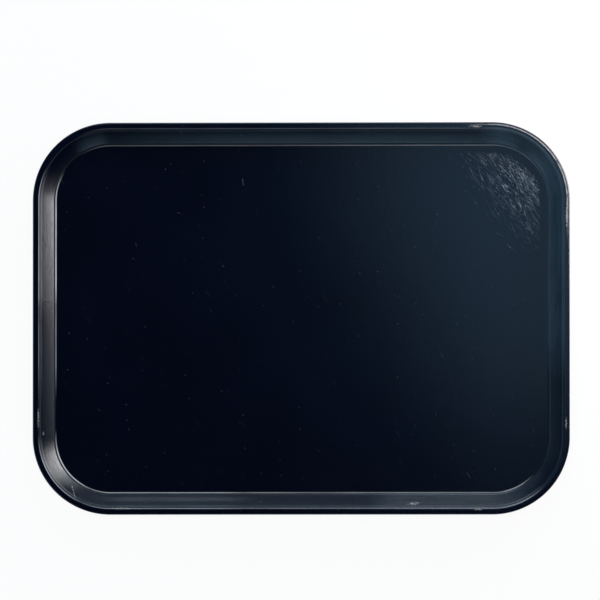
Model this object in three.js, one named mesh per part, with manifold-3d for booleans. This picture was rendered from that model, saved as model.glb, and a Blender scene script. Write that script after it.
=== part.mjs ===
// A rectangular cafeteria tray, compression moulded from glass mat and polyester resin.
// Two surface sheets enclose two glass mats, a patch of mat in each corner and a metal rod in the rim.
// Millimetres, +Z up, +X along the tray. The origin is the middle of the underside.
import * as THREE from "three";
import { mergeVertices } from "three/addons/utils/BufferGeometryUtils.js";
import Module from "manifold-3d";

const wasm = await Module();
wasm.setup();

// Outside of the tray
const LENGTH = 415;
const WIDTH = 303;
const HEIGHT = 16.5;
const CORNER_RADIUS = 60;

// Thickness of each layer, from the eating side down
const TOP_SHEET = 0.35;
const UPPER_MAT = 0.75;
const LOWER_MAT = 0.75;
const BOTTOM_SHEET = 0.35;

// Rim and wall, in section
const RIM_FLAT = 3.7; // from the outer edge to where the rim starts to turn down
const RIM_DEPTH = 4.2; // height of the outer edge
const EDGE_RADIUS = 1.2; // outer edge, above and below
const CREST_RADIUS = 3; // rim into wall
const UNDER_RIM_RADIUS = 1.5; // wall into the underside of the rim
const WALL_ANGLE = 53; // degrees from level, midway up the wall
const WALL_HOLLOW = 7; // degrees by which the wall is steeper at its head, and gentler at its foot
const FOOT_RADIUS = 3; // wall into floor

// Rod in the rim
const ROD_DIAMETER = 2.4;
const ROD_INSET = 2.6; // from the outer edge to the rod's axis
const ROD_BOND = 0.1; // resin all round the rod
const ROD_END_GAP = 2; // between the two ends, halfway along the back
const ROD_TURN_RADIUS = 1.5; // where the joint between the mats turns out to the rod

// Patches of mat in the corners
const PATCH_THICKNESS = 0.3;
const PATCH_FLOOR_REACH = 20; // from the wall's foot towards the middle of the tray
const PATCH_RIM_DROP = 5.5; // from the top of the rim down to the patch
const PATCH_BOND = 0.1; // resin all round a patch
const POCKET_RISE = 0.3; // how far the cutter for a patch's pocket stands out of the mat

// Fineness of the facets
const CORNER_STEPS = 8;
const ROD_SIDES = 10;
const FOOT_STEPS = 3;
const WALL_STEPS = 3;
const CREST_STEPS = 3;
const EDGE_STEPS = 3;
const TURN_STEPS = 2;
const SAME_POINT = 1e-6;

const { degToRad, lerp } = THREE.MathUtils;
const quarterTurn = Math.PI / 2;
const halfTurn = Math.PI;
const floorThickness = TOP_SHEET + UPPER_MAT + LOWER_MAT + BOTTOM_SHEET;
const matDepth = TOP_SHEET + UPPER_MAT; // from the upper face down to where the mats meet
const underRimHeight = HEIGHT - RIM_DEPTH;
const partingHeight = HEIGHT - RIM_DEPTH / 2; // where the halves of the mould close on the outer edge
const headSlope = degToRad(WALL_ANGLE + WALL_HOLLOW);
const footSlope = degToRad(WALL_ANGLE - WALL_HOLLOW);
const rodRadius = ROD_DIAMETER / 2;

// The section lies in a plane of u, the distance in from the outer edge, and z, the height.
// Its lines are chains of arcs, followed outwards from the floor. An arc passes over or under its centre,
// and runs from one slope of the line to another: level is 0, and uphill is positive.
const OVER = 1;
const UNDER = -1;
const at = (u, z) => new THREE.Vector2(u, z);
const towards = (slope) => at(Math.sin(slope), Math.cos(slope));
const arc = (side, centre, radius, from, to, steps) => ({ side, centre, radius, from, to, steps });

// The arc's points once its line is lowered by a depth, so that all lines stay parallel.
function arcPoints({ side, centre, radius, from, to, steps }, depth) {
  const points = [];
  for (let step = 0; step <= steps; step += 1) {
    const slope = lerp(from, to, step / steps);
    points.push(centre.clone().addScaledVector(towards(slope), side * radius - depth));
  }
  return points;
}

// Points without those that repeat the one before.
function distinct(points) {
  return points.filter((point, i) => i === 0 || point.distanceTo(points[i - 1]) > SAME_POINT);
}

function line(arcs, depth, end) {
  return distinct([...arcs.flatMap((each) => arcPoints(each, depth)), end]);
}

// The hollow of the wall takes up whatever height the bends at its head and foot leave.
const crestDrop = CREST_RADIUS * (1 - Math.cos(headSlope));
const footRise = FOOT_RADIUS * (1 - Math.cos(footSlope));
const wallHeight = HEIGHT - floorThickness - crestDrop - footRise;
const wallRadius = wallHeight / (Math.cos(footSlope) - Math.cos(headSlope));
const crestCentre = at(RIM_FLAT, HEIGHT - CREST_RADIUS);
const wallCentre = crestCentre.clone().addScaledVector(towards(headSlope), CREST_RADIUS + wallRadius);
const footCentre = wallCentre.clone().addScaledVector(towards(footSlope), FOOT_RADIUS - wallRadius);

const footArc = arc(UNDER, footCentre, FOOT_RADIUS, 0, footSlope, FOOT_STEPS);
const wallArc = (to) => arc(UNDER, wallCentre, wallRadius, footSlope, to, WALL_STEPS);
const lowered = (each, depth) => ({ ...each, radius: each.radius - each.side * depth });

// The bend that turns the wall's line, at a depth, level with a height under the rim.
function turnOut(depth, radius, height) {
  const reach = wallRadius + depth + radius;
  const slope = Math.acos((wallCentre.y - height + radius) / reach);
  const centre = wallCentre.clone().addScaledVector(towards(slope), -reach);
  return arc(OVER, centre, radius, slope, 0, TURN_STEPS);
}

// The upper face from the floor to the parting line on the outer edge, or a line at a depth below it.
function upperFace(depth) {
  const crest = arc(OVER, crestCentre, CREST_RADIUS, headSlope, 0, CREST_STEPS);
  const edgeCentre = at(EDGE_RADIUS, HEIGHT - EDGE_RADIUS);
  const edge = arc(OVER, edgeCentre, EDGE_RADIUS, 0, -quarterTurn, EDGE_STEPS);
  return line([footArc, wallArc(headSlope), crest, edge], depth, at(depth, partingHeight));
}

// The lower face from the underside to the parting line, or a line at a height above it.
function lowerFace(height) {
  const turn = turnOut(floorThickness, UNDER_RIM_RADIUS, underRimHeight);
  const edgeCentre = at(EDGE_RADIUS, underRimHeight + EDGE_RADIUS);
  const edge = arc(UNDER, edgeCentre, EDGE_RADIUS, 0, quarterTurn, EDGE_STEPS);
  const wall = [footArc, wallArc(turn.from)].map((each) => lowered(each, floorThickness));
  return line([...wall, turn, edge], -height, at(height, partingHeight));
}

// Half of a round about the rod's axis, from the wall's side to the edge's, over the rod or under it.
function halfRound(radius, side) {
  const axis = at(ROD_INSET, partingHeight);
  return arcPoints(arc(side, axis, radius, side * quarterTurn, -side * quarterTurn, ROD_SIDES / 2), 0);
}

// Where the mats meet: through floor and wall, then level to the rod, round it and on to the edge's sheet.
function matJoint(side, sheet) {
  const turn = turnOut(matDepth, ROD_TURN_RADIUS, partingHeight);
  const wall = [footArc, wallArc(turn.from)].map((each) => lowered(each, matDepth));
  const round = halfRound(rodRadius + ROD_BOND, side);
  return [...line([...wall, turn], 0, round[0]), ...round.slice(1), at(sheet, partingHeight)];
}

// A station is a place on the outer edge, with the direction from there towards the middle of the tray.
const station = (x, y, inX, inY) => ({ x, y, inX, inY });
const place = ({ x, y, inX, inY }, { x: u, y: z }) => [x + u * inX, y + u * inY, z];

const corners = [
  { name: "back_right", signX: 1, signY: 1, start: 0 },
  { name: "back_left", signX: -1, signY: 1, start: quarterTurn },
  { name: "front_left", signX: -1, signY: -1, start: 2 * quarterTurn },
  { name: "front_right", signX: 1, signY: -1, start: 3 * quarterTurn },
];

// The stations round one corner, anticlockwise.
function cornerStations({ signX, signY, start }) {
  const centreX = signX * (LENGTH / 2 - CORNER_RADIUS);
  const centreY = signY * (WIDTH / 2 - CORNER_RADIUS);
  const stations = [];
  for (let step = 0; step <= CORNER_STEPS; step += 1) {
    const angle = start + (quarterTurn * step) / CORNER_STEPS;
    const [outX, outY] = [Math.cos(angle), Math.sin(angle)];
    stations.push(station(centreX + CORNER_RADIUS * outX, centreY + CORNER_RADIUS * outY, -outX, -outY));
  }
  return stations;
}

// The same stations with one more at each end, an allowance along the straight sides.
function lengthened(stations, allowance) {
  const along = ({ x, y, inX, inY }, step) => station(x + step * inY, y - step * inX, inX, inY);
  return [along(stations[0], -allowance), ...stations, along(stations.at(-1), allowance)];
}

function surface(vertices, triangles) {
  const geometry = new THREE.BufferGeometry();
  geometry.setAttribute("position", new THREE.Float32BufferAttribute(vertices.flat(), 3));
  geometry.setIndex(triangles.flat());
  return mergeVertices(geometry);
}

// Two triangles between a and b on one row, and c and d beside them on the next.
const quad = (a, b, c, d) => [a, b, d, a, d, c];

// A layer of the whole tray, whose profile goes out along its upper line and back along its lower one.
// Inside the profile's ends, the floor is flat above and below.
function layer(upper, lower) {
  const profile = distinct([...upper, ...lower.toReversed()]);
  const stations = corners.flatMap(cornerStations);
  const count = stations.length;
  const lastRow = (profile.length - 1) * count;
  const vertices = profile.flatMap((point) => stations.map((each) => place(each, point)));
  const topMiddle = vertices.push([0, 0, profile[0].y]) - 1;
  const bottomMiddle = vertices.push([0, 0, profile.at(-1).y]) - 1;
  const triangles = [];
  stations.forEach((_, i) => {
    const next = (i + 1) % count;
    triangles.push([topMiddle, i, next], [bottomMiddle, lastRow + next, lastRow + i]);
    for (let row = 0; row < lastRow; row += count) {
      triangles.push(quad(row + i, row + count + i, row + next, row + count + next));
    }
  });
  return surface(vertices, triangles);
}

// A strip with flat ends, whose closed section goes anticlockwise in the plane of u and z.
function strip(section, stations) {
  const count = section.length;
  const lastRow = (stations.length - 1) * count;
  const vertices = stations.flatMap((each) => section.map((point) => place(each, point)));
  const triangles = [];
  for (let row = 0; row < lastRow; row += count) {
    section.forEach((_, i) => {
      const next = (i + 1) % count;
      triangles.push(quad(row + i, row + next, row + count + i, row + count + next));
    });
  }
  for (const [a, b, c] of THREE.ShapeUtils.triangulateShape(section, [])) {
    triangles.push([c, b, a], [lastRow + a, lastRow + b, lastRow + c]);
  }
  return surface(vertices, triangles);
}

function solidOf(geometry) {
  const vertProperties = geometry.getAttribute("position").array;
  const triVerts = new Uint32Array(geometry.index.array);
  return new wasm.Manifold(new wasm.Mesh({ numProp: 3, vertProperties, triVerts }));
}

function geometryOf(solid) {
  const { vertProperties, triVerts } = solid.getMesh();
  const geometry = new THREE.BufferGeometry();
  geometry.setAttribute("position", new THREE.BufferAttribute(vertProperties, 3));
  geometry.setIndex(new THREE.BufferAttribute(triVerts, 1));
  return geometry;
}

// The section of a corner patch, which lies in the lower mat from the floor to the head of the wall.
// Its pocket is larger by an allowance all round, and its upper side by a rise.
function patchSection(allowance, rise) {
  const innerEnd = footCentre.x + PATCH_FLOOR_REACH + allowance;
  const upperDepth = matDepth + PATCH_BOND - rise;
  const lowerDepth = matDepth + PATCH_BOND + PATCH_THICKNESS + allowance;
  const head = Math.acos((wallCentre.y - HEIGHT + PATCH_RIM_DROP) / wallRadius) + allowance / wallRadius;
  const outline = (depth) => {
    const bends = line([footArc, wallArc(head)], depth, wallCentre).slice(0, -1);
    return [at(innerEnd, floorThickness - depth), ...bends];
  };
  return [...outline(upperDepth), ...outline(lowerDepth).toReversed()];
}

function topSheet() {
  return layer(upperFace(0), upperFace(TOP_SHEET));
}

function upperMat() {
  return layer(upperFace(TOP_SHEET), matJoint(OVER, TOP_SHEET));
}

// One length of rod, bent round the rim so that its ends face each other halfway along the back.
function rimRod() {
  const under = halfRound(rodRadius, UNDER).slice(1, -1);
  const section = [...halfRound(rodRadius, OVER), ...under.toReversed()];
  const end = (x) => station(x, WIDTH / 2, 0, -1);
  const [backRight, ...rest] = corners;
  const bends = [...rest, backRight].flatMap(cornerStations);
  return strip(section, [end(-ROD_END_GAP / 2), ...bends, end(ROD_END_GAP / 2)]);
}

function cornerPatch(corner) {
  return strip(patchSection(0, 0), cornerStations(corner));
}

// The lower mat has a pocket for each corner patch.
function lowerMat() {
  const whole = layer(matJoint(UNDER, BOTTOM_SHEET), lowerFace(BOTTOM_SHEET));
  const section = patchSection(PATCH_BOND, POCKET_RISE);
  const pockets = corners.map((corner) => strip(section, lengthened(cornerStations(corner), PATCH_BOND)));
  return geometryOf(pockets.reduce((mat, pocket) => mat.subtract(solidOf(pocket)), solidOf(whole)));
}

function bottomSheet() {
  return layer(lowerFace(BOTTOM_SHEET), lowerFace(0));
}

const pigmentedResin = { color: 0x070c14, roughness: 0.42, metalness: 0 };
const glassMat = { color: 0x2a2f33, roughness: 0.7, metalness: 0 };
const aluminium = { color: 0xb4b7ba, roughness: 0.35, metalness: 1 };

const tray = new THREE.Group();

function addPiece(name, geometry, finish) {
  const piece = new THREE.Mesh(geometry, new THREE.MeshStandardMaterial(finish));
  piece.name = name;
  tray.add(piece);
}

addPiece("top_surface_sheet", topSheet(), pigmentedResin);
addPiece("upper_glass_mat", upperMat(), glassMat);
addPiece("rim_rod", rimRod(), aluminium);
for (const corner of corners) {
  addPiece(`corner_patch_${corner.name}`, cornerPatch(corner), glassMat);
}
addPiece("lower_glass_mat", lowerMat(), glassMat);
addPiece("bottom_surface_sheet", bottomSheet(), pigmentedResin);

export default tray;
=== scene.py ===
"""A cafeteria tray moulded in dark glass-reinforced polyester, worn by use, seen from straight above.

The surface sheets and the rim rod are modelled again, smoothly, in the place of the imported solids.
Lengths are in metres, apart from those of finishes and wear, which are in millimetres.
+Z is up, +X runs along the tray and +Y towards its back.
"""
import math
from collections import namedtuple

import bmesh
import bpy
from bpy.props import FloatProperty, FloatVectorProperty, IntProperty, PointerProperty
from mathutils import Matrix, Vector


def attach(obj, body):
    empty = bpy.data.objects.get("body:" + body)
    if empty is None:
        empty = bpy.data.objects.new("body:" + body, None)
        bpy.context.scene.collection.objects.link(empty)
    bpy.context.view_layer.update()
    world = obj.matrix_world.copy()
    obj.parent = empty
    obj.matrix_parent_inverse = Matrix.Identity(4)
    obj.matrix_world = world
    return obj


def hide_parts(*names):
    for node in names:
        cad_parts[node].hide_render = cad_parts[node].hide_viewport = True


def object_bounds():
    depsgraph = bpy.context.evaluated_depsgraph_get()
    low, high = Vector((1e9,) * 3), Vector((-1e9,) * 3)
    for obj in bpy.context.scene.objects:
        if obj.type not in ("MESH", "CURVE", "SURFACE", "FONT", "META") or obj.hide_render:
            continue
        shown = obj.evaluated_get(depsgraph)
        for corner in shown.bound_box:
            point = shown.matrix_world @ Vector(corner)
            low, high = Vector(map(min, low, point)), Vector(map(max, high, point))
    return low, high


bl_info = {
    "name": "Cafeteria tray",
    "version": (1, 0, 0),
    "blender": (4, 5, 0),
    "location": "3D View > Sidebar > Tray",
    "description": "Models a moulded cafeteria tray over its solids, with its finishes, wear and stage",
    "category": "Object",
}

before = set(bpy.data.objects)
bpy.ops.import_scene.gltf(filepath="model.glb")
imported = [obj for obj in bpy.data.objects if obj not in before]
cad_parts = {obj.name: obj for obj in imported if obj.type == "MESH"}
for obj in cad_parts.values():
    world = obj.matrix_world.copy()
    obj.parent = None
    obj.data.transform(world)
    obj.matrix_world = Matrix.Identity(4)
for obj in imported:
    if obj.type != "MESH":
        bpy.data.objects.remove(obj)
CAD_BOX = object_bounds()

MM = 0.001
TO_MM = 1000.0
SAME_POINT = 0.001 * MM  # vertices nearer than this are one


def linear(hex_colour):
    """A colour written as sRGB hex, in the linear values that shaders use."""
    channels = [int(hex_colour[i:i + 2], 16) / 255 for i in (1, 3, 5)]
    return [c / 12.92 if c <= 0.04045 else ((c + 0.055) / 1.055) ** 2.4 for c in channels]


# Sizes and colours

def length_property(name, description, millimetres):
    return FloatProperty(
        name=name, description=description, default=millimetres * MM, unit="LENGTH", precision=5)


def colour_property(name, description, hex_colour):
    return FloatVectorProperty(
        name=name, description=description, default=linear(hex_colour), subtype="COLOR")


class TraySizes(bpy.types.PropertyGroup):
    """Sizes of the tray, the same as those of its solids."""

    length: length_property("Length", "Outside, along X", (CAD_BOX[1].x - CAD_BOX[0].x) * TO_MM)
    width: length_property("Width", "Outside, along Y", (CAD_BOX[1].y - CAD_BOX[0].y) * TO_MM)
    height: length_property("Height", "From the underside to the top of the rim", CAD_BOX[1].z * TO_MM)
    corner_radius: length_property("Corner radius", "Outer edge, seen from above", 60)
    floor: length_property("Floor thickness", "All layers of the laminate together", 2.2)
    sheet: length_property("Sheet thickness", "Each pigmented surface sheet", 0.35)
    rim_flat: length_property("Rim flat", "From the outer edge to where the rim turns down", 3.7)
    rim_depth: length_property("Rim depth", "Height of the outer edge", 4.2)
    edge_radius: length_property("Edge radius", "Outer edge, above and below", 1.2)
    crest_radius: length_property("Crest radius", "Rim into wall", 3)
    under_rim_radius: length_property("Under-rim radius", "Wall into the underside of the rim", 1.5)
    foot_radius: length_property("Foot radius", "Wall into floor", 3)
    parting_chamfer: length_property("Parting chamfer", "Sheet's edge at the parting line", 0.12)
    rod: length_property("Rod diameter", "Drawn rod in the rim", 2.4)
    rod_chamfer: length_property("Rod chamfer", "Rounding of the rod's ends", 0.2)
    rod_inset: length_property("Rod inset", "From the outer edge to the rod's axis", 2.6)
    rod_gap: length_property("Rod gap", "Between the rod's ends, halfway along the back", 2)
    wall_angle: FloatProperty(
        name="Wall angle", description="From level, midway up the wall",
        default=math.radians(53), subtype="ANGLE")
    wall_hollow: FloatProperty(
        name="Wall hollow", description="How much steeper the wall is at its head, and gentler at its foot",
        default=math.radians(7), subtype="ANGLE")
    corner_steps: IntProperty(
        name="Corner steps", description="Faces round each corner", default=40, min=4)


class TrayColours(bpy.types.PropertyGroup):
    """Colours of the tray's finishes, wear and painted light, and of its stage."""

    resin: colour_property("Resin", "Pigmented polyester, where it is dark", "#00030F")
    resin_pale: colour_property("Resin, pale", "Pigmented polyester, where the pigment is thin", "#010618")
    scuff: colour_property("Scuff", "Fine scratches", "#B4BDC8")
    # Pale resin of chips and rubs, also used for painted highlights on the wall and on the back right outer
    # edge.
    chip_and_highlight: colour_property("Chip and highlight", "Resin knocked or rubbed pale", "#B9B2AC")
    speck: colour_property("Speck", "Dust and small nicks", "#8C97A1")
    # Painted sheen: a pale bluish film on the walls, strongest towards the back right.
    painted_sheen: colour_property("Painted sheen", "Film of fine scratches on the wall", "#88AEC4")
    # Painted highlight: the colour of the pale lines along the crest and the foot of the wall.
    painted_light_and_wear: colour_property("PaintedLightAndWear", "Bright line of a rubbed ridge", "#E2E0E2")
    # Painted shade: the colour of the dark lines beside the crest and the foot of the wall.
    painted_shade: colour_property("Painted shade", "Film left by wiping, at the foot of the wall", "#05070A")
    glass: colour_property("Glass mat", "Resin in the glass mat", "#22282D")
    strand: colour_property("Strand", "Chopped glass strands", "#77817F")
    rod: colour_property("Rod", "Drawn aluminium", "#B4B7BA")
    rod_line: colour_property("Rod, lines", "Lines of the die along the rod", "#8E9195")
    stage: colour_property("Stage", "Floor that the tray stands on", "#F4F4F4")


# The tray's section

# Faces round the arcs of the section.
SMALL_ARC_STEPS = 10
WALL_STEPS = 12
CREST_STEPS = 14

Arc = namedtuple("Arc", "centre turn steps")


def corner_axis(sizes):
    """The upright axis of the back right corner, where it meets the table."""
    return Vector((sizes.length / 2 - sizes.corner_radius, sizes.width / 2 - sizes.corner_radius, 0))


class Section:
    """Lines of the tray's section, in the plane of its right side.

    A point is (out, height), where out is measured from the axis of the corner. Every line is a chain of
    turns about the same few centres, so a line that starts lower stays parallel to the one above it.
    """

    def __init__(self, sizes):
        self.sizes = sizes
        self.radius = sizes.corner_radius
        self.head = sizes.wall_angle + sizes.wall_hollow
        self.foot = sizes.wall_angle - sizes.wall_hollow
        self.under_rim = sizes.height - sizes.rim_depth
        self.parting = sizes.height - sizes.rim_depth / 2
        crest_drop = sizes.crest_radius * (1 - math.cos(self.head))
        foot_rise = sizes.foot_radius * (1 - math.cos(self.foot))
        wall_height = sizes.height - sizes.floor - crest_drop - foot_rise
        self.wall_radius = wall_height / (math.cos(self.foot) - math.cos(self.head))
        self.crest_centre = self.at(sizes.rim_flat, sizes.height - sizes.crest_radius)
        self.wall_centre = self.crest_centre + self.along(self.head, sizes.crest_radius + self.wall_radius)
        self.foot_centre = self.wall_centre + self.along(self.foot, sizes.foot_radius - self.wall_radius)

    def at(self, inset, height):
        """The point at a distance in from the outer edge."""
        return Vector((self.radius - inset, height))

    @staticmethod
    def along(slope, distance):
        """The way across a line that climbs outwards at a slope."""
        return Vector((-math.sin(slope), math.cos(slope))) * distance

    def upper_line(self, depth):
        """Start and moves of the eating side, or of a line at a depth below it, out to the parting line."""
        sizes = self.sizes
        edge_centre = self.at(sizes.edge_radius, sizes.height - sizes.edge_radius)
        start = Vector((0, sizes.floor - depth))
        moves = [
            Vector((self.foot_centre.x, sizes.floor - depth)),
            Arc(self.foot_centre, self.foot, SMALL_ARC_STEPS),
            Arc(self.wall_centre, self.head - self.foot, WALL_STEPS),
            Arc(self.crest_centre, -self.head, CREST_STEPS),
            Vector((edge_centre.x, sizes.height - depth)),
            Arc(edge_centre, -math.pi / 2, SMALL_ARC_STEPS),
        ]
        return start, moves

    def lower_line(self, rise):
        """Start and moves of the underside, or of a line at a height above it, out to the parting line."""
        sizes = self.sizes
        reach = self.wall_radius + sizes.floor + sizes.under_rim_radius
        turn = math.acos((self.wall_centre.y - self.under_rim + sizes.under_rim_radius) / reach)
        turn_centre = self.wall_centre - self.along(turn, reach)
        edge_centre = self.at(sizes.edge_radius, self.under_rim + sizes.edge_radius)
        start = Vector((0, rise))
        moves = [
            Vector((self.foot_centre.x, rise)),
            Arc(self.foot_centre, self.foot, SMALL_ARC_STEPS),
            Arc(self.wall_centre, turn - self.foot, WALL_STEPS),
            Arc(turn_centre, -turn, SMALL_ARC_STEPS),
            Vector((edge_centre.x, self.under_rim + rise)),
            Arc(edge_centre, math.pi / 2, SMALL_ARC_STEPS),
        ]
        return start, moves


# Meshes

SMOOTH_ANGLE = math.radians(35)  # edges sharper than this stay sharp


def draw_line(mesh, axis, start, moves):
    """Draws a line of the section in the plane of the corner's axis, and returns its last vertex."""
    def place(point):
        return axis + Vector((point.x, 0, point.y))

    vert = mesh.verts.new(place(start))
    for move in moves:
        if isinstance(move, Arc):
            # The plane is seen from the front, so a positive turn about -Y climbs outwards.
            made = bmesh.ops.spin(
                mesh, geom=[vert], cent=place(move.centre), axis=(0, -1, 0),
                angle=move.turn, steps=move.steps)
            vert = next(item for item in made["geom_last"] if isinstance(item, bmesh.types.BMVert))
        else:
            vert = bmesh.ops.extrude_vert_indiv(mesh, verts=[vert])["verts"][0]
            vert.co = place(move)
    return vert


def edges_of(geometry):
    return [item for item in geometry if isinstance(item, bmesh.types.BMEdge)]


def extrude_edges(mesh, edges, offset):
    """Draws edges out to faces, and returns the edges at the far side."""
    made = bmesh.ops.extrude_edge_only(mesh, edges=edges)["geom"]
    verts = [item for item in made if isinstance(item, bmesh.types.BMVert)]
    bmesh.ops.translate(mesh, verts=verts, vec=offset)
    return edges_of(made)


def mirror_across(mesh, direction):
    """Adds the mirror image of a mesh across the middle of the tray, and joins the two there."""
    geometry = mesh.verts[:] + mesh.edges[:] + mesh.faces[:]
    bmesh.ops.mirror(
        mesh, geom=geometry, matrix=Matrix.Identity(4), merge_dist=SAME_POINT, axis=direction)


def runs_forward(edge, axis):
    """Whether an edge runs along Y, straight in front of an axis."""
    first, second = (vert.co - axis for vert in edge.verts)
    in_front = all(abs(end.x) < SAME_POINT and end.y < SAME_POINT for end in (first, second))
    return in_front and abs(first.y - second.y) > SAME_POINT


def sweep_round(mesh, axis, steps):
    """Carries the section in a mesh round a quarter of the tray, closes the floor and mirrors it."""
    section = mesh.edges[:]
    geometry = mesh.verts[:] + section
    made = bmesh.ops.spin(
        mesh, geom=geometry, cent=axis, axis=(0, 0, 1), angle=math.pi / 2, steps=steps)
    to_middle_y = Vector((0, -axis.y, 0))
    to_middle_x = Vector((-axis.x, 0, 0))
    extrude_edges(mesh, edges_of(made["geom_last"]), to_middle_x)
    extrude_edges(mesh, section, to_middle_y)
    beside_floor = [edge for edge in mesh.edges if runs_forward(edge, axis)]
    extrude_edges(mesh, beside_floor, to_middle_x)
    mirror_across(mesh, "X")
    mirror_across(mesh, "Y")


def finish_piece(mesh, name, material):
    """Welds a mesh, turns its faces outwards and makes it a smooth-shaded object."""
    bmesh.ops.remove_doubles(mesh, verts=mesh.verts[:], dist=SAME_POINT)
    bmesh.ops.dissolve_degenerate(mesh, edges=mesh.edges[:], dist=SAME_POINT)
    bmesh.ops.recalc_face_normals(mesh, faces=mesh.faces[:])
    for face in mesh.faces:
        face.smooth = True
    data = bpy.data.meshes.new(name)
    mesh.to_mesh(data)
    mesh.free()
    data.set_sharp_from_angle(angle=SMOOTH_ANGLE)
    data.materials.append(material)
    piece = bpy.data.objects.new(name, data)
    bpy.context.scene.collection.objects.link(piece)
    return piece


def dress(piece, slot, *nodes):
    """Puts a piece in place of its solids."""
    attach(piece, "root")
    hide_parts(*nodes)


# Nodes

def add_node(tree, kind, inputs=None, **settings):
    """Adds a node. An input, named or numbered, is a value, or a socket of another node to link to."""
    node = tree.nodes.new(kind)
    for name, value in settings.items():
        setattr(node, name, value)
    for name, value in (inputs or {}).items():
        if isinstance(value, bpy.types.NodeSocket):
            tree.links.new(value, node.inputs[name])
        else:
            node.inputs[name].default_value = value
    return node


def new_material(name):
    """A node material with its shader, and the object's coordinates in millimetres."""
    material = bpy.data.materials.new(name)
    material.use_nodes = True
    tree = material.node_tree
    tree.nodes.clear()
    shader = add_node(tree, "ShaderNodeBsdfPrincipled")
    add_node(tree, "ShaderNodeOutputMaterial", {"Surface": shader.outputs["BSDF"]})
    coordinates = add_node(tree, "ShaderNodeTexCoord").outputs["Object"]
    place = add_node(
        tree, "ShaderNodeVectorMath", {0: coordinates, "Scale": TO_MM}, operation="SCALE").outputs["Vector"]
    return material, tree, shader, place


def inset_from_edge(tree, place, sizes):
    """How far in from the tray's outer edge a point lies, in millimetres."""
    axis = corner_axis(sizes) * TO_MM
    flat = add_node(tree, "ShaderNodeVectorMath", {0: place, 1: (1, 1, 0)}, operation="MULTIPLY")
    folded = add_node(tree, "ShaderNodeVectorMath", {0: flat.outputs["Vector"]}, operation="ABSOLUTE")
    beyond = add_node(
        tree, "ShaderNodeVectorMath", {0: folded.outputs["Vector"], 1: axis}, operation="SUBTRACT")
    outside = add_node(
        tree, "ShaderNodeVectorMath", {0: beyond.outputs["Vector"], 1: (0, 0, 0)}, operation="MAXIMUM")
    distance = add_node(tree, "ShaderNodeVectorMath", {0: outside.outputs["Vector"]}, operation="LENGTH")
    radius = sizes.corner_radius * TO_MM
    return add_node(
        tree, "ShaderNodeMath", {0: radius, 1: distance.outputs["Value"]}, operation="SUBTRACT").outputs[0]


# Wear, and painted sheen, highlights and shade. Places are in millimetres from the middle of the tray.

ANY_HEIGHT = 1000  # a reach so tall that height makes no difference
FAR_IN = (900.0, 999.0)  # ebb and end of a band that goes on to the middle of the tray


def near(tree, place, middle, reach, strength=1.0):
    """A strength within the first distance of a point, falling smoothly to 0 at the second."""
    distance = add_node(tree, "ShaderNodeVectorMath", {0: place, 1: middle}, operation="DISTANCE")
    return add_node(
        tree, "ShaderNodeMapRange",
        {"Value": distance.outputs["Value"], "From Min": reach[0], "From Max": reach[1],
         "To Min": strength, "To Max": 0.0},
        interpolation_type="SMOOTHSTEP").outputs["Result"]


def band(tree, distance, edges, strength):
    """A strength that rises from start to full, and falls from ebb to end."""
    start, full, ebb, end = edges
    rising = add_node(
        tree, "ShaderNodeMapRange",
        {"Value": distance, "From Min": start, "From Max": full, "To Min": 0.0, "To Max": strength},
        interpolation_type="SMOOTHSTEP").outputs["Result"]
    return add_node(
        tree, "ShaderNodeMapRange",
        {"Value": distance, "From Min": ebb, "From Max": end, "To Min": rising, "To Max": 0.0},
        interpolation_type="SMOOTHSTEP").outputs["Result"]


# Strokes: scratches and strands. A stroke follows the line on which a noise passes through its middle value.
# The noise is as long and as wide as the layer says, so that it is stretched along the layer's angle.
# A second noise breaks the line up: it shows where that noise is under a limit, which rises with the cover.

Stroke = namedtuple("Stroke", "angle length spacing")

NOISE_MIDDLE = 0.5
STROKE_CORE = 0.001  # a stroke is full as near to the middle value as this
STROKE_EDGE = 0.013  # and ends this far from it
BREAKS_SCALE = 1.3
BREAKS_BARE = 0.19  # limit where there is no cover
BREAKS_COVERED = 0.85  # limit under full cover
BREAKS_FADE = 0.12  # a stroke fades as the noise nears the limit
LAYER_SHIFT = 731.0  # each layer is cut from another part of the noise, so that no two are alike


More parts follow.
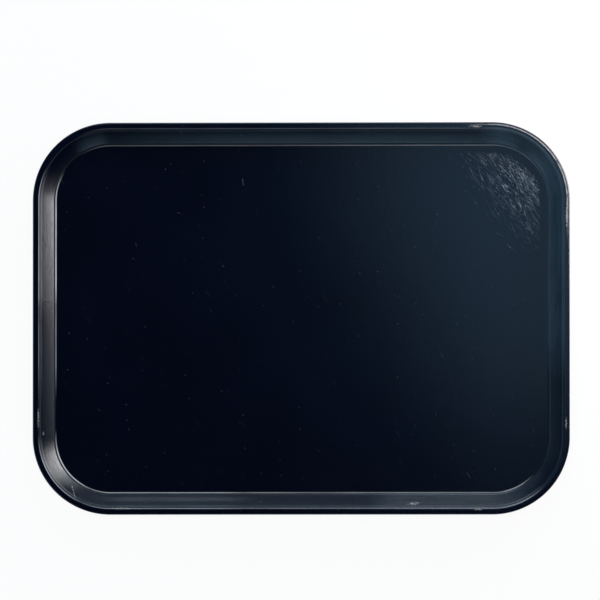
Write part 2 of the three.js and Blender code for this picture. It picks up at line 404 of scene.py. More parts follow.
def strokes(tree, place, layers, cover):
    """Fine, nearly straight lines, more and longer where the cover is stronger."""
    limit = add_node(
        tree, "ShaderNodeMapRange",
        {"Value": cover, "To Min": BREAKS_BARE, "To Max": BREAKS_COVERED}).outputs["Result"]
    faded = add_node(tree, "ShaderNodeMath", {0: limit, 1: BREAKS_FADE}, operation="SUBTRACT").outputs[0]
    marks = 0.0
    for number, layer in enumerate(layers):
        turned = add_node(
            tree, "ShaderNodeMapping",
            {"Vector": place, "Location": (number * LAYER_SHIFT, 0, 0),
             "Rotation": (0, 0, math.radians(layer.angle)), "Scale": (layer.length, layer.spacing, 1)},
            vector_type="TEXTURE").outputs["Vector"]
        noise = add_node(
            tree, "ShaderNodeTexNoise", {"Vector": turned, "Scale": 1.0, "Detail": 0.0},
            noise_dimensions="2D")
        breaks = add_node(
            tree, "ShaderNodeTexNoise", {"Vector": turned, "Scale": BREAKS_SCALE, "Detail": 1.0},
            noise_dimensions="2D")
        present = add_node(
            tree, "ShaderNodeMapRange",
            {"Value": breaks.outputs["Fac"], "From Min": faded, "From Max": limit,
             "To Min": 1.0, "To Max": 0.0})
        side = add_node(
            tree, "ShaderNodeMath", {0: noise.outputs["Fac"], 1: NOISE_MIDDLE}, operation="SUBTRACT")
        away = add_node(tree, "ShaderNodeMath", {0: side.outputs[0]}, operation="ABSOLUTE")
        mark = add_node(
            tree, "ShaderNodeMapRange",
            {"Value": away.outputs[0], "From Min": STROKE_CORE, "From Max": STROKE_EDGE,
             "To Min": present.outputs["Result"], "To Max": 0.0})
        marks = add_node(
            tree, "ShaderNodeMath", {0: marks, 1: mark.outputs["Result"]}, operation="MAXIMUM").outputs[0]
    return marks


# Scratches in the back right corner of the floor. They lie in a patch along the corner, dense in its core
# and sparse in the skirt round it. Its reach is its half lengths along and across, and its soft edge starts
# at a share of them.

Patch = namedtuple("Patch", "reach soft cover")

SCUFF_PLACE = (174, 105)
SCUFF_ANGLE = -48
SCUFF_CORE = Patch((68, 23), 0.1, 0.62)
SCUFF_SKIRT = Patch((112, 54), 0.3, 0.48)
SKIRT_STRENGTH = 0.42
SCUFF_INSET = (20.5, 25.0, *FAR_IN)  # they stop short of the wall
SWIRL_SIZE = 34.0
SWIRL_BEND = (5, 5, 0)  # how far the swirls bend the scratches
SCUFF_CLUMP_SIZE = 12.0
SCUFF_CLUMPS = (0.35, 0.60)  # values of the noise between which clumps rise
CLUMP_FLOOR = 0.8  # cover between clumps, as a share of that in them
# The scratches run mostly down to the right.
FLOOR_SCUFFS = (
    Stroke(-52, 32, 2.0),
    Stroke(-62, 36, 2.2),
    Stroke(-44, 30, 2.0),
    Stroke(-70, 32, 2.2),
    Stroke(-56, 40, 2.0),
    Stroke(-36, 26, 2.2),
    Stroke(-80, 24, 2.0),
    Stroke(-22, 22, 2.2),
    Stroke(-58, 34, 2.1),
    Stroke(-48, 28, 2.1),
)


def scuffed_floor(tree, place, inset):
    """A crescent of fine scratches in the back right corner of the floor, where things were slid out."""
    swirl = add_node(tree, "ShaderNodeTexNoise", {"Vector": place, "Scale": 1 / SWIRL_SIZE, "Detail": 1.0})
    centred = add_node(
        tree, "ShaderNodeVectorMath", {0: swirl.outputs["Color"], 1: (NOISE_MIDDLE,) * 3},
        operation="SUBTRACT")
    bent = add_node(
        tree, "ShaderNodeVectorMath", {0: centred.outputs["Vector"], 1: SWIRL_BEND, 2: place},
        operation="MULTIPLY_ADD").outputs["Vector"]
    clumps = add_node(
        tree, "ShaderNodeTexNoise", {"Vector": place, "Scale": 1 / SCUFF_CLUMP_SIZE, "Detail": 2.0})
    clumped = add_node(
        tree, "ShaderNodeMapRange",
        {"Value": clumps.outputs["Fac"], "From Min": SCUFF_CLUMPS[0], "From Max": SCUFF_CLUMPS[1],
         "To Min": CLUMP_FLOOR, "To Max": 1.0})
    within = band(tree, inset, SCUFF_INSET, clumped.outputs["Result"])
    covers = []
    for patch in (SCUFF_CORE, SCUFF_SKIRT):
        local = add_node(
            tree, "ShaderNodeMapping",
            {"Vector": place, "Location": (*SCUFF_PLACE, 0), "Rotation": (0, 0, math.radians(SCUFF_ANGLE)),
             "Scale": (*patch.reach, ANY_HEIGHT)},
            vector_type="TEXTURE")
        covers.append(near(tree, local.outputs["Vector"], (0, 0, 0), (patch.soft, 1.0), patch.cover))
    core, skirt = covers
    both = add_node(tree, "ShaderNodeMath", {0: core, 1: skirt}, operation="MAXIMUM").outputs[0]
    cover = add_node(tree, "ShaderNodeMath", {0: both, 1: within}, operation="MULTIPLY").outputs[0]
    marks = strokes(tree, bent, FLOOR_SCUFFS, cover)
    clear = add_node(
        tree, "ShaderNodeMapRange",
        {"Value": core, "From Max": SCUFF_CORE.cover, "To Min": SKIRT_STRENGTH, "To Max": 1.0})
    return add_node(
        tree, "ShaderNodeMath", {0: marks, 1: clear.outputs["Result"]}, operation="MULTIPLY").outputs[0]


# Scratches under the floor

RAIL_SCUFFS = (Stroke(0, 90, 2.4), Stroke(3, 60, 2.8), Stroke(-5, 40, 3.0))
RAIL_COVER = 0.3
RAIL_INSET = (16.0, 22.0, *FAR_IN)
RAIL_CLUMP_SIZE = 70.0
RAIL_CLUMPS = (0.4, 0.7)


def rail_scuffs(tree, place, inset):
    """Long scratches along the underside of the floor, where the tray has been slid along rails."""
    clumps = add_node(
        tree, "ShaderNodeTexNoise", {"Vector": place, "Scale": 1 / RAIL_CLUMP_SIZE, "Detail": 1.0})
    clumped = add_node(
        tree, "ShaderNodeMapRange",
        {"Value": clumps.outputs["Fac"], "From Min": RAIL_CLUMPS[0], "From Max": RAIL_CLUMPS[1],
         "To Min": 0.0, "To Max": RAIL_COVER})
    cover = band(tree, inset, RAIL_INSET, clumped.outputs["Result"])
    return strokes(tree, place, RAIL_SCUFFS, cover)


# Knocks to the rim and the wall: half lengths along X and Y, turned by an angle

Knock = namedtuple("Knock", "name place reach angle")

KNOCKS = (
    Knock("back rim, right", (135, 148.3), (9, 2.0), 0),
    Knock("right rim, back", (205.3, 79), (1.5, 20), 0),
    Knock("right rim, front", (204.7, -81), (1.5, 9), 0),
    Knock("left rim, front", (-203.1, -77), (1.4, 17), 0),
    Knock("left wall, front", (-199.4, -88.5), (1.0, 3.2), 0),
    Knock("front left wall", (-176.4, -132.7), (1.0, 15), 18),
    Knock("front rim, left", (-138, -146.6), (15, 1.5), 0),
    Knock("front rim, right", (136.9, -147.4), (7, 1.5), 0),
    Knock("front wall", (87, -142.9), (9, 2.2), 6),
)
KNOCK_SOFT = 0.2  # a knock fades from this share of its reach
FLECK_SIZE = 1.1
FLECK_LIFT = 0.36  # how much full cover adds to the noise
FLECK_LEVELS = (0.77, 0.87)  # a fleck begins at the first value of that sum, and is full at the second


def knocked_places(tree, place):
    """Small ragged flecks of bare resin, which grow together in the middle of a knock."""
    cover = 0.0
    for knock in KNOCKS:
        local = add_node(
            tree, "ShaderNodeMapping",
            {"Vector": place, "Location": (*knock.place, 0), "Rotation": (0, 0, math.radians(knock.angle)),
             "Scale": (*knock.reach, ANY_HEIGHT)},
            vector_type="TEXTURE", label=knock.name)
        spot = near(tree, local.outputs["Vector"], (0, 0, 0), (KNOCK_SOFT, 1.0))
        cover = add_node(tree, "ShaderNodeMath", {0: cover, 1: spot}, operation="MAXIMUM").outputs[0]
    flecks = add_node(
        tree, "ShaderNodeTexNoise",
        {"Vector": place, "Scale": 1 / FLECK_SIZE, "Detail": 2.0, "Roughness": 0.6})
    raised = add_node(
        tree, "ShaderNodeMath", {0: cover, 1: FLECK_LIFT, 2: flecks.outputs["Fac"]},
        operation="MULTIPLY_ADD")
    return add_node(
        tree, "ShaderNodeMapRange",
        {"Value": raised.outputs[0], "From Min": FLECK_LEVELS[0], "From Max": FLECK_LEVELS[1],
         "To Max": cover}).outputs["Result"]


# Outer edge of the back right corner, rubbed bare, with a painted highlight along it

EDGE_WEAR_AND_HIGHLIGHT = (1.2, 1.6, 1.9, 2.5)
EDGE_MARK_MIDDLE = (192, 128, 14)
EDGE_MARK_REACH = (30.0, 74.0)
EDGE_BREAKS_SIZE = 4.0
EDGE_BREAKS = (0.20, 0.50)  # values of the noise between which the edge grows bare


def worn_edge_and_highlight(tree, place, inset):
    """The outer edge of the back right corner, rubbed down to the bare resin in places, and partly a painted
    highlight.
    """
    corner = near(tree, place, EDGE_MARK_MIDDLE, EDGE_MARK_REACH)
    breaks = add_node(
        tree, "ShaderNodeTexNoise",
        {"Vector": place, "Scale": 1 / EDGE_BREAKS_SIZE, "Detail": 3.0, "Roughness": 0.65})
    broken = add_node(
        tree, "ShaderNodeMapRange",
        {"Value": breaks.outputs["Fac"], "From Min": EDGE_BREAKS[0], "From Max": EDGE_BREAKS[1],
         "To Min": 0.0, "To Max": corner})
    return band(tree, inset, EDGE_WEAR_AND_HIGHLIGHT, broken.outputs["Result"])


# Painted highlights and sheen, and rubbed streaks. A band's distances are in from the outer edge: start,
# full, ebb and end.

PaintedLightAndWear = namedtuple("PaintedLightAndWear", "name place reach strength")

# Painted highlights along the crest of the rim, below it and along the foot of the wall.
CREST_HIGHLIGHT_BAND = (4.3, 4.6, 4.85, 5.15)
SHOULDER_HIGHLIGHT_BAND = (6.1, 6.5, 6.9, 7.4)
FOOT_HIGHLIGHT_BAND = (16.6, 16.95, 17.4, 17.75)
CREST_SHARE = 0.6  # of the foot's strength
SHOULDER_SHARE = 0.14
PAINTED_HIGHLIGHT_LINES = (
    PaintedLightAndWear("left side, back", (-204, 58, 8), (34, 62), 1.0),
    PaintedLightAndWear("left side, middle", (-204, -8, 8), (20, 60), 0.4),
    PaintedLightAndWear("front left corner", (-190, -120, 8), (14, 36), 1.0),
    PaintedLightAndWear("front side, left", (-105, -148, 8), (40, 85), 0.5),
    PaintedLightAndWear("front side, middle", (0, -148, 8), (40, 90), 0.3),
    PaintedLightAndWear("front side, right", (105, -148, 8), (45, 80), 0.31),
    PaintedLightAndWear("front right corner", (168, -142, 8), (8, 26), 0.62),
    PaintedLightAndWear("back side", (0, 148, 8), (150, 177), 0.16),
    PaintedLightAndWear("back right corner", (182, 138, 8), (12, 36), 0.1),
)
# Painted sheen on the wall, strongest round the back right corner.
SHEEN_WALL_BAND = (3.5, 4.4, 16.6, 17.6)
PAINTED_SHEEN_WALLS = (
    PaintedLightAndWear("right side, back", (204, 50, 8), (50, 120), 0.09),
    PaintedLightAndWear("right side, front", (204, -60, 8), (20, 80), 0.02),
    PaintedLightAndWear("back right corner", (186, 132, 8), (30, 60), 0.12),
    PaintedLightAndWear("back side, right", (100, 150, 8), (40, 110), 0.035),
    PaintedLightAndWear("back side, left", (-60, 150, 8), (60, 110), 0.018),
    PaintedLightAndWear("front right corner", (186, -132, 8), (20, 60), 0.025),
    PaintedLightAndWear("front side, right", (110, -148, 8), (40, 66), 0.022),
    PaintedLightAndWear("left side, front", (-204, -60, 8), (20, 60), 0.014),
    PaintedLightAndWear("front side, left", (-105, -148, 8), (25, 65), 0.02),
)
# Painted sheen high on the wall in the back right corner.
SHEEN_SHOULDER_BAND = (4.4, 5.6, 8.0, 10.5)
PAINTED_SHEEN_SHOULDERS = (PaintedLightAndWear("back right corner", (194, 116, 8), (45, 90), 0.025),)
# Painted highlights on the wall, and one place where only the middle of it is rubbed pale.
HIGHLIGHT_WALL_BAND = (4.3, 5.0, 16.6, 17.6)
PAINTED_HIGHLIGHT_WALLS = (
    PaintedLightAndWear("front left corner", (-193, -117, 8), (2, 21), 0.4),
    PaintedLightAndWear("left side, back", (-204, 58, 8), (34, 60), 0.09),
    PaintedLightAndWear("front side, right", (110, -148, 8), (40, 60), 0.034),
)
WORN_STREAK = (9.5, 11.5, 12.8, 14.8)
STREAKED_WALLS = (PaintedLightAndWear("front side, left", (-100, -145, 8), (30, 75), 0.07),)

STREAK_SIZE = 24.0
STREAK_FINENESS = 18.0  # how many times finer the streaks are across the wall than along it
STREAK_LEVELS = (-0.15, 0.62)  # values of the noise at which a mark is none and full


def streaked_light_and_wear(tree, place, inset, light_and_wear_spots):
    """The strongest of the marks that reach a point, broken into streaks: mostly painted light, and rubbed
    streaks.
    """
    rubbed = 0.0
    for painted_light_and_wear in light_and_wear_spots:
        spot = near(tree, place, painted_light_and_wear.place, painted_light_and_wear.reach, painted_light_and_wear.strength)
        rubbed = add_node(tree, "ShaderNodeMath", {0: rubbed, 1: spot}, operation="MAXIMUM").outputs[0]
    across = add_node(tree, "ShaderNodeMath", {0: inset, 1: STREAK_FINENESS}, operation="MULTIPLY")
    lifted = add_node(tree, "ShaderNodeCombineXYZ", {"Z": across.outputs[0]})
    along = add_node(tree, "ShaderNodeVectorMath", {0: place, 1: lifted.outputs["Vector"]}, operation="ADD")
    streaks = add_node(
        tree, "ShaderNodeTexNoise",
        {"Vector": along.outputs["Vector"], "Scale": 1 / STREAK_SIZE, "Detail": 3.0, "Roughness": 0.6})
    return add_node(
        tree, "ShaderNodeMapRange",
        {"Value": streaks.outputs["Fac"], "From Min": STREAK_LEVELS[0], "From Max": STREAK_LEVELS[1],
         "To Max": rubbed}).outputs["Result"]


def painted_highlight_lines(tree, place, inset):
    """Painted highlights along the crest of the rim, just below it and along the foot of the wall."""
    foot = streaked_light_and_wear(tree, place, inset, PAINTED_HIGHLIGHT_LINES)
    lines = band(tree, inset, FOOT_HIGHLIGHT_BAND, foot)
    for edges, share in ((CREST_HIGHLIGHT_BAND, CREST_SHARE), (SHOULDER_HIGHLIGHT_BAND, SHOULDER_SHARE)):
        weaker = add_node(tree, "ShaderNodeMath", {0: foot, 1: share}, operation="MULTIPLY").outputs[0]
        line = band(tree, inset, edges, weaker)
        lines = add_node(tree, "ShaderNodeMath", {0: lines, 1: line}, operation="MAXIMUM").outputs[0]
    return lines


def wall_light_and_wear(tree, place, inset, edges, light_and_wear_spots):
    """A band of the wall, paler where painted sheen and highlights lie, or where the front wall is rubbed.
    """
    return band(tree, inset, edges, streaked_light_and_wear(tree, place, inset, light_and_wear_spots))


# Painted shade: dark dull lines beside the crest and the foot. There is none round one side of the tray.

CREST_SHADE_BAND = (5.3, 5.5, 5.75, 6.0)
FOOT_SHADE_BAND = (15.4, 15.8, 16.3, 16.6)
SHADE_LINES_MIDDLE = (-100, 60, 8)
SHADE_LINES_REACH = (190.0, 300.0)


def painted_shade_lines(tree, place, inset):
    """Painted shade: dull dark lines beside the crest of the rim and the foot of the wall."""
    shade_strength = near(tree, place, SHADE_LINES_MIDDLE, SHADE_LINES_REACH)
    lines = {0: band(tree, inset, CREST_SHADE_BAND, shade_strength), 1: band(tree, inset, FOOT_SHADE_BAND, shade_strength)}
    return add_node(tree, "ShaderNodeMath", lines, operation="MAXIMUM").outputs[0]


# Specks

SPECK_SPACING = 15.0
SPECK_RADIUS = 0.3675  # of the largest
SPECK_FREE = 0.45  # share of the cells that hold none


def specks(tree, place):
    """Dust and nicks, at most one in each cell of a pattern."""
    cells = add_node(
        tree, "ShaderNodeTexVoronoi", {"Vector": place, "Scale": 1 / SPECK_SPACING},
        voronoi_dimensions="2D")
    chance = add_node(tree, "ShaderNodeSeparateColor", {"Color": cells.outputs["Color"]})
    size = add_node(
        tree, "ShaderNodeMapRange",
        {"Value": chance.outputs["Red"], "From Min": SPECK_FREE, "From Max": 1.0,
         "To Min": 0.0, "To Max": SPECK_RADIUS / SPECK_SPACING})
    return add_node(
        tree, "ShaderNodeMath", {0: cells.outputs["Distance"], 1: size.outputs["Result"]},
        operation="LESS_THAN").outputs[0]


# Finishes

WORN_ROUGHNESS = 0.5

# A layer over the finish, of wear or of painted light.
Wear = namedtuple("Wear", "mask colour strength roughness depth", defaults=(1.0, WORN_ROUGHNESS, 0.0))

# Painted shade lines: dark, and rough so that they mirror little light.
SHADE_LINES_STRENGTH = 0.9
SHADE_LINES_ROUGHNESS = 0.85
SCUFF_STRENGTH = 0.66
SPECK_STRENGTH = 0.2
EDGE_STRENGTH = 0.65
KNOCK_STRENGTH = 0.45
RAIL_STRENGTH = 0.16
# Depths are shares of the height of the grain.
SCUFF_DEPTH = 0.4
SPECK_DEPTH = 0.4
KNOCK_DEPTH = 0.2
RAIL_DEPTH = 0.2


def eating_side_wear_and_painted_light(tree, place, inset, colours):
    """Wear of the eating side with painted sheen, highlights and shade among it, each kind over the one
    before.
    """
    sheen_on_walls = wall_light_and_wear(tree, place, inset, SHEEN_WALL_BAND, PAINTED_SHEEN_WALLS)
    sheen_on_shoulders = wall_light_and_wear(tree, place, inset, SHEEN_SHOULDER_BAND, PAINTED_SHEEN_SHOULDERS)
    highlight_on_walls = wall_light_and_wear(tree, place, inset, HIGHLIGHT_WALL_BAND, PAINTED_HIGHLIGHT_WALLS)
    pale_streaks = wall_light_and_wear(tree, place, inset, WORN_STREAK, STREAKED_WALLS)
    return (
        Wear(sheen_on_walls, colours.painted_sheen),
        Wear(sheen_on_shoulders, colours.painted_sheen),
        Wear(highlight_on_walls, colours.chip_and_highlight),
        Wear(pale_streaks, colours.chip_and_highlight),
        Wear(painted_shade_lines(tree, place, inset), colours.painted_shade, SHADE_LINES_STRENGTH, SHADE_LINES_ROUGHNESS),
        Wear(painted_highlight_lines(tree, place, inset), colours.painted_light_and_wear),
        Wear(scuffed_floor(tree, place, inset), colours.scuff, SCUFF_STRENGTH, depth=SCUFF_DEPTH),
        Wear(specks(tree, place), colours.speck, SPECK_STRENGTH, depth=SPECK_DEPTH),
        Wear(worn_edge_and_highlight(tree, place, inset), colours.chip_and_highlight, EDGE_STRENGTH),
        Wear(knocked_places(tree, place), colours.chip_and_highlight, KNOCK_STRENGTH, depth=KNOCK_DEPTH),
    )


def underside_wear(tree, place, inset, colours):
    """Wear of the underside, from sliding and stacking."""
    return (
        Wear(rail_scuffs(tree, place, inset), colours.scuff, RAIL_STRENGTH, depth=RAIL_DEPTH),
        Wear(knocked_places(tree, place), colours.chip_and_highlight, KNOCK_STRENGTH, depth=KNOCK_DEPTH),
    )


GRAIN_SIZE = 1.6
GRAIN_HEIGHT = 0.06
CLOUD_SIZE = 70.0
SATIN_ROUGHNESS = (0.24, 0.28)
POLYESTER_IOR = 1.5


def satin_polyester(name, sizes, colours, wear):
    """Pigmented polyester from a satin mould: nearly black, with a soft broad sheen and a fine grain."""
    material, tree, shader, place = new_material(name)
    inset = inset_from_edge(tree, place, sizes)
    grain = add_node(
        tree, "ShaderNodeTexNoise",
        {"Vector": place, "Scale": 1 / GRAIN_SIZE, "Detail": 2.0, "Roughness": 0.6})
    cloud = add_node(
        tree, "ShaderNodeTexNoise",
        {"Vector": place, "Scale": 1 / CLOUD_SIZE, "Detail": 3.0, "Roughness": 0.5})
    tone = add_node(
        tree, "ShaderNodeMix",
        {"Factor": cloud.outputs["Fac"], "A": (*colours.resin, 1), "B": (*colours.resin_pale, 1)},
        data_type="RGBA").outputs["Result"]
    sheen = add_node(
        tree, "ShaderNodeMapRange",
        {"Value": cloud.outputs["Fac"], "To Min": SATIN_ROUGHNESS[0], "To Max": SATIN_ROUGHNESS[1]}
        ).outputs["Result"]
    height = grain.outputs["Fac"]
    # Each layer of wear, or of painted light on the eating side, goes over the one before.
    for each in wear(tree, place, inset, colours):
        share = add_node(
            tree, "ShaderNodeMath", {0: each.mask, 1: each.strength}, operation="MULTIPLY").outputs[0]
        tone = add_node(
            tree, "ShaderNodeMix", {"Factor": share, "A": tone, "B": (*each.colour, 1)},
            data_type="RGBA").outputs["Result"]
        sheen = add_node(
            tree, "ShaderNodeMix", {"Factor": share, "A": sheen, "B": each.roughness},
            data_type="FLOAT").outputs["Result"]
        height = add_node(
            tree, "ShaderNodeMath", {0: each.mask, 1: -each.depth, 2: height},
            operation="MULTIPLY_ADD").outputs[0]
    bump = add_node(
        tree, "ShaderNodeBump", {"Strength": 1.0, "Distance": GRAIN_HEIGHT * MM, "Height": height})
    tree.links.new(tone, shader.inputs["Base Color"])
    tree.links.new(sheen, shader.inputs["Roughness"])
    tree.links.new(bump.outputs["Normal"], shader.inputs["Normal"])
    shader.inputs["IOR"].default_value = POLYESTER_IOR
    return material


# A strand is about 0.3 mm wide. It is drawn somewhat coarser, to show at arm's length.
GLASS_STRANDS = tuple(Stroke(angle, 42, 1.6) for angle in (4, 38, 71, 112, 149))
STRAND_COVER = 0.8
STRAND_BUMP = 0.3
STRAND_HEIGHT = 0.1
RESIN_ROUGHNESS = 0.62
STRAND_ROUGHNESS = 0.42


def glass_mat(colours):
    """Chopped strands of glass in dark resin: a felt of pale threads some four centimetres long."""
    material, tree, shader, place = new_material("chopped_strand_glass_mat")
    strands = strokes(tree, place, GLASS_STRANDS, STRAND_COVER)
    tone = add_node(
        tree, "ShaderNodeMix",
        {"Factor": strands, "A": (*colours.glass, 1), "B": (*colours.strand, 1)}, data_type="RGBA")
    sheen = add_node(
        tree, "ShaderNodeMapRange",
        {"Value": strands, "To Min": RESIN_ROUGHNESS, "To Max": STRAND_ROUGHNESS})
    bump = add_node(
        tree, "ShaderNodeBump",
        {"Strength": STRAND_BUMP, "Distance": STRAND_HEIGHT * MM, "Height": strands})
    tree.links.new(tone.outputs["Result"], shader.inputs["Base Color"])
    tree.links.new(sheen.outputs["Result"], shader.inputs["Roughness"])
    tree.links.new(bump.outputs["Normal"], shader.inputs["Normal"])
    return material


DIE_LINE = 0.1  # the die's lines are some hundredths of a millimetre wide, and are drawn at a tenth
ROD_ROUGHNESS = (0.42, 0.26)  # in the lines and between them


def drawn_aluminium(sizes, colours):
    """Bare drawn rod: bright metal with the fine lines of the die running along it."""
    material, tree, shader, place = new_material("drawn_aluminium")
    inset = inset_from_edge(tree, place, sizes)
    height = add_node(tree, "ShaderNodeSeparateXYZ", {"Vector": place}).outputs["Z"]
    across = add_node(tree, "ShaderNodeCombineXYZ", {"X": inset, "Y": height}).outputs["Vector"]
    lines = add_node(
        tree, "ShaderNodeTexNoise", {"Vector": across, "Scale": 1 / DIE_LINE, "Detail": 2.0}).outputs["Fac"]
    tone = add_node(
        tree, "ShaderNodeMix",
        {"Factor": lines, "A": (*colours.rod_line, 1), "B": (*colours.rod, 1)}, data_type="RGBA")
    sheen = add_node(
        tree, "ShaderNodeMapRange",
        {"Value": lines, "To Min": ROD_ROUGHNESS[0], "To Max": ROD_ROUGHNESS[1]})
    tree.links.new(tone.outputs["Result"], shader.inputs["Base Color"])
    tree.links.new(sheen.outputs["Result"], shader.inputs["Roughness"])
    shader.inputs["Metallic"].default_value = 1.0
    return material


# Stage

FRAME_WIDTH = 463.3 * MM  # how much of the rim's plane the picture spans
CAMERA_PLACE = Vector((0.40, -0.29, 10.0))  # a little off the middle, as the photograph's floor line shows
SENSOR_WIDTH = 36.0
VIEW_OFFSET = Vector((-0.75, 13.98)) * MM  # from the middle of the tray to the middle of the picture

STAGE_REACH = 13.5  # from the tray to the backdrop, so that the camera stays inside it from every side
STAGE_SIDES = 64
STAGE_GAP = 0.1 * MM  # keeps the stage's face apart from the tray's underside
BACKDROP_HEIGHT = 0.65
WHITE_SHARE = 0.93  # how much of the stage's look is plain white
STUDIO_DARK = (0.002, 0.004, 0.008, 1)  # linear, nearly black

Lamp = namedtuple("Lamp", "name place size radiance tint")

LAMP_AIM = Vector((0, 0, 0))
LAMPS = (
    Lamp("key_softbox", (0.42, 0.185, 0.09), (0.24, 0.16), 12.8, "#FBF9FF"),
    Lamp("far_key_softbox", (0.75, 0.30, 0.14), (0.50, 0.24), 6.0, "#FAFCFF"),
    Lamp("back_right_card", (0.35, 0.45, 0.10), (0.30, 0.18), 5.4, "#E4F0FF"),
    Lamp("back_softbox", (0.00, 0.70, 0.42), (0.60, 0.30), 4.7, "#C8E6FF"),
    Lamp("back_card", (-0.12, 0.50, 0.10), (0.84, 0.18), 0.7, "#C8E6FF"),
    Lamp("front_card", (0.02, -0.50, 0.10), (0.30, 0.18), 1.9, "#B0DFFF"),
    Lamp("front_left_card", (-0.40, -0.30, 0.10), (0.30, 0.18), 1.9, "#B0DFFF"),
    Lamp("left_card", (-0.50, 0.00, 0.10), (0.40, 0.18), 0.4, "#A6DBFF"),
    Lamp("left_softbox", (-0.70, 0.00, 0.42), (0.50, 0.30), 1.0, "#A6DBFF"),
    Lamp("overhead_softbox", (0.19, 0.10, 0.45), (0.30, 0.28), 0.92, "#A8DCFF"),
)
FILL = Lamp("overhead_fill", (0.00, 0.00, 2.00), (1.60, 1.60), 2.5, "#FFFFFF")


def stage_paint(colours):
    """Matt paint: white to the camera, and lit a little by the lamps, so that the tray's shadow stays."""
    material = bpy.data.materials.new("matt_white_paint")
    material.use_nodes = True
    tree = material.node_tree
    tree.nodes.clear()
    lit = add_node(tree, "ShaderNodeBsdfDiffuse", {"Color": (*colours.stage, 1)})
    white = add_node(tree, "ShaderNodeEmission", {"Color": (1, 1, 1, 1), "Strength": 1.0})
    path = add_node(tree, "ShaderNodeLightPath")
    seen = path.outputs["Is Camera Ray"]
    for ray in ("Is Glossy Ray", "Is Transmission Ray"):
        seen = add_node(
            tree, "ShaderNodeMath", {0: seen, 1: path.outputs[ray]}, operation="MAXIMUM").outputs[0]
    share = add_node(tree, "ShaderNodeMath", {0: seen, 1: WHITE_SHARE}, operation="MULTIPLY")
    mixed = add_node(
        tree, "ShaderNodeMixShader",
        {0: share.outputs[0], 1: lit.outputs["BSDF"], 2: white.outputs["Emission"]})
    add_node(tree, "ShaderNodeOutputMaterial", {"Surface": mixed.outputs["Shader"]})
    return material


def add_floor(scene):
    """A round white floor with a low backdrop at its edge."""
    mesh = bmesh.new()
    below = Matrix.Translation((0, 0, -STAGE_GAP))
    bmesh.ops.create_circle(mesh, cap_ends=True, segments=STAGE_SIDES, radius=STAGE_REACH, matrix=below)
    extrude_edges(mesh, mesh.edges[:], Vector((0, 0, BACKDROP_HEIGHT)))
    data = bpy.data.meshes.new("stage_floor")
    mesh.to_mesh(data)
    mesh.free()
    data.materials.append(stage_paint(scene.tray_colours))
    floor = bpy.data.objects.new("stage_floor", data)
    scene.collection.objects.link(floor)


def add_lamp(scene, lamp):
    """A softbox turned to the tray, whose face is as many times brighter than white as its radiance says."""
    data = bpy.data.lights.new(lamp.name, "AREA")
    data.shape = "RECTANGLE"
    data.size, data.size_y = lamp.size
    data.energy = lamp.radiance * math.pi * lamp.size[0] * lamp.size[1]
    data.color = linear(lamp.tint)
    light = bpy.data.objects.new(lamp.name, data)
    light.location = lamp.place
    light.rotation_euler = (LAMP_AIM - light.location).to_track_quat("-Z", "Y").to_euler()
    light.visible_camera = False
    scene.collection.objects.link(light)
    return light


def add_camera(scene):
    """A camera far above the tray, so that it shows nearly no perspective."""
    camera = bpy.data.cameras.new("camera")
    camera.sensor_width = SENSOR_WIDTH
    sight = Vector((*VIEW_OFFSET, scene.tray_sizes.height)) - CAMERA_PLACE
    camera.lens = SENSOR_WIDTH * sight.length / FRAME_WIDTH
    viewer = bpy.data.objects.new("camera", camera)
    viewer.location = CAMERA_PLACE
    viewer.rotation_euler = (math.atan2(sight.y, -sight.z), math.atan2(-sight.x, -sight.z), 0)
    scene.collection.objects.link(viewer)
    scene.camera = viewer


# Operators

ROD_SIDES = 24


class TRAY_OT_add_surface_sheets(bpy.types.Operator):
    """Models the two pigmented sheets that form the eating side and the underside"""

    bl_idname = "tray.add_surface_sheets"
    bl_label = "Surface sheets"

    def execute(self, context):
        sizes, colours = context.scene.tray_sizes, context.scene.tray_colours
        section = Section(sizes)
        axis = corner_axis(sizes)
        edge, chamfer = sizes.corner_radius, sizes.parting_chamfer
        upper = satin_polyester("satin_polyester_eating_side", sizes, colours, eating_side_wear_and_painted_light)
        lower = satin_polyester("satin_polyester_underside", sizes, colours, underside_wear)
        sheets = (
            ("eating_side_sheet", "top_surface_sheet", upper, section.upper_line, 1),
            ("underside_sheet", "bottom_surface_sheet", lower, section.lower_line, -1),
        )
        for name, node, material, line, side in sheets:
            mesh = bmesh.new()
            start, moves = line(0)
            chamfered = [
                Vector((edge, section.parting + side * chamfer)),
                Vector((edge - chamfer, section.parting)),
            ]
            outer_end = draw_line(mesh, axis, start, moves + chamfered)
            start, moves = line(sizes.sheet)
            inner_edge = Vector((edge - sizes.sheet, section.parting))
            inner_end = draw_line(mesh, axis, start, moves + [inner_edge])
            mesh.edges.new((outer_end, inner_end))
            sweep_round(mesh, axis, sizes.corner_steps)
            dress(finish_piece(mesh, name, material), "pigmented_resin", node)
        return {"FINISHED"}


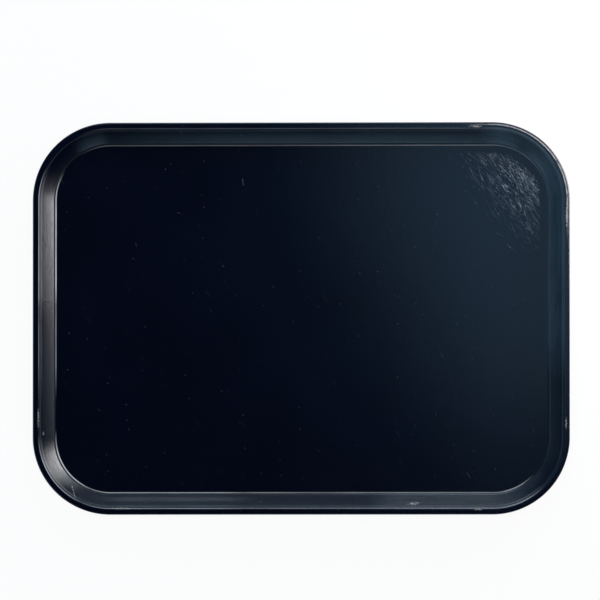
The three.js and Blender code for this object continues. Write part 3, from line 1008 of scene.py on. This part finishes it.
class TRAY_OT_add_rim_rod(bpy.types.Operator):
    """Models the rod that stiffens the rim, with its ends facing each other halfway along the back"""

    bl_idname = "tray.add_rim_rod"
    bl_label = "Rim rod"

    def execute(self, context):
        sizes, colours = context.scene.tray_sizes, context.scene.tray_colours
        axis = corner_axis(sizes)
        end = Vector((
            sizes.rod_gap / 2, sizes.width / 2 - sizes.rod_inset, sizes.height - sizes.rim_depth / 2))
        upright = Matrix.Translation(end) @ Matrix.Rotation(math.pi / 2, 4, "Y")
        mesh = bmesh.new()
        bmesh.ops.create_circle(
            mesh, cap_ends=True, segments=ROD_SIDES, radius=sizes.rod / 2, matrix=upright)
        rim_of_end = mesh.edges[:]
        edges = extrude_edges(mesh, rim_of_end, Vector((axis.x - end.x, 0, 0)))
        to_front = Vector((0, -2 * axis.y, 0))
        to_middle = Vector((-axis.x, 0, 0))
        for centre, onward in ((axis, to_front), (axis + to_front, to_middle)):
            verts = list({vert for edge in edges for vert in edge.verts})
            made = bmesh.ops.spin(
                mesh, geom=verts + edges, cent=centre, axis=(0, 0, 1),
                angle=-math.pi / 2, steps=sizes.corner_steps)
            edges = extrude_edges(mesh, edges_of(made["geom_last"]), onward)
        bmesh.ops.bevel(
            mesh, geom=rim_of_end, offset=sizes.rod_chamfer, offset_type="OFFSET", affect="EDGES",
            segments=2, profile=0.5, material=-1)
        mirror_across(mesh, "X")
        dress(finish_piece(mesh, "drawn_rim_rod", drawn_aluminium(sizes, colours)), "aluminium", "rim_rod")
        return {"FINISHED"}


class TRAY_OT_finish_glass_mats(bpy.types.Operator):
    """Gives the mats and the corner patches, whose solids stay, the look of chopped strands"""

    bl_idname = "tray.finish_glass_mats"
    bl_label = "Glass mats"

    def execute(self, context):
        material = glass_mat(context.scene.tray_colours)
        for name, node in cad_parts.items():
            if name.endswith("_glass_mat") or name.startswith("corner_patch_"):
                node.material_slots[0].material = material
        return {"FINISHED"}


class TRAY_OT_add_stage(bpy.types.Operator):
    """Adds the white floor, the soft lights and the camera"""

    bl_idname = "tray.add_stage"
    bl_label = "Stage"

    def execute(self, context):
        scene = context.scene
        add_floor(scene)
        for lamp in LAMPS:
            add_lamp(scene, lamp)
        # The fill shows the colours at about the level they are written, and isn't mirrored in the tray.
        add_lamp(scene, FILL).visible_glossy = False
        world = bpy.data.worlds.new("studio")
        world.use_nodes = True
        world.node_tree.nodes["Background"].inputs["Color"].default_value = STUDIO_DARK
        scene.world = world
        add_camera(scene)
        scene.view_settings.view_transform = "Standard"
        return {"FINISHED"}


class TRAY_PT_panel(bpy.types.Panel):
    """Lists the steps that make the tray"""

    bl_idname = "TRAY_PT_panel"
    bl_label = "Cafeteria tray"
    bl_space_type = "VIEW_3D"
    bl_region_type = "UI"
    bl_category = "Tray"

    def draw(self, context):
        for step in STEPS:
            self.layout.operator(step.bl_idname)


STEPS = (TRAY_OT_add_surface_sheets, TRAY_OT_add_rim_rod, TRAY_OT_finish_glass_mats, TRAY_OT_add_stage)
CLASSES = (TraySizes, TrayColours, *STEPS, TRAY_PT_panel)


def register():
    for each in CLASSES:
        bpy.utils.register_class(each)
    bpy.types.Scene.tray_sizes = PointerProperty(type=TraySizes)
    bpy.types.Scene.tray_colours = PointerProperty(type=TrayColours)


def unregister():
    del bpy.types.Scene.tray_colours
    del bpy.types.Scene.tray_sizes
    for each in reversed(CLASSES):
        bpy.utils.unregister_class(each)


def main():
    register()
    bpy.ops.tray.add_surface_sheets()
    bpy.ops.tray.add_rim_rod()
    bpy.ops.tray.finish_glass_mats()
    bpy.ops.tray.add_stage()


if __name__ == "__main__":
    main()
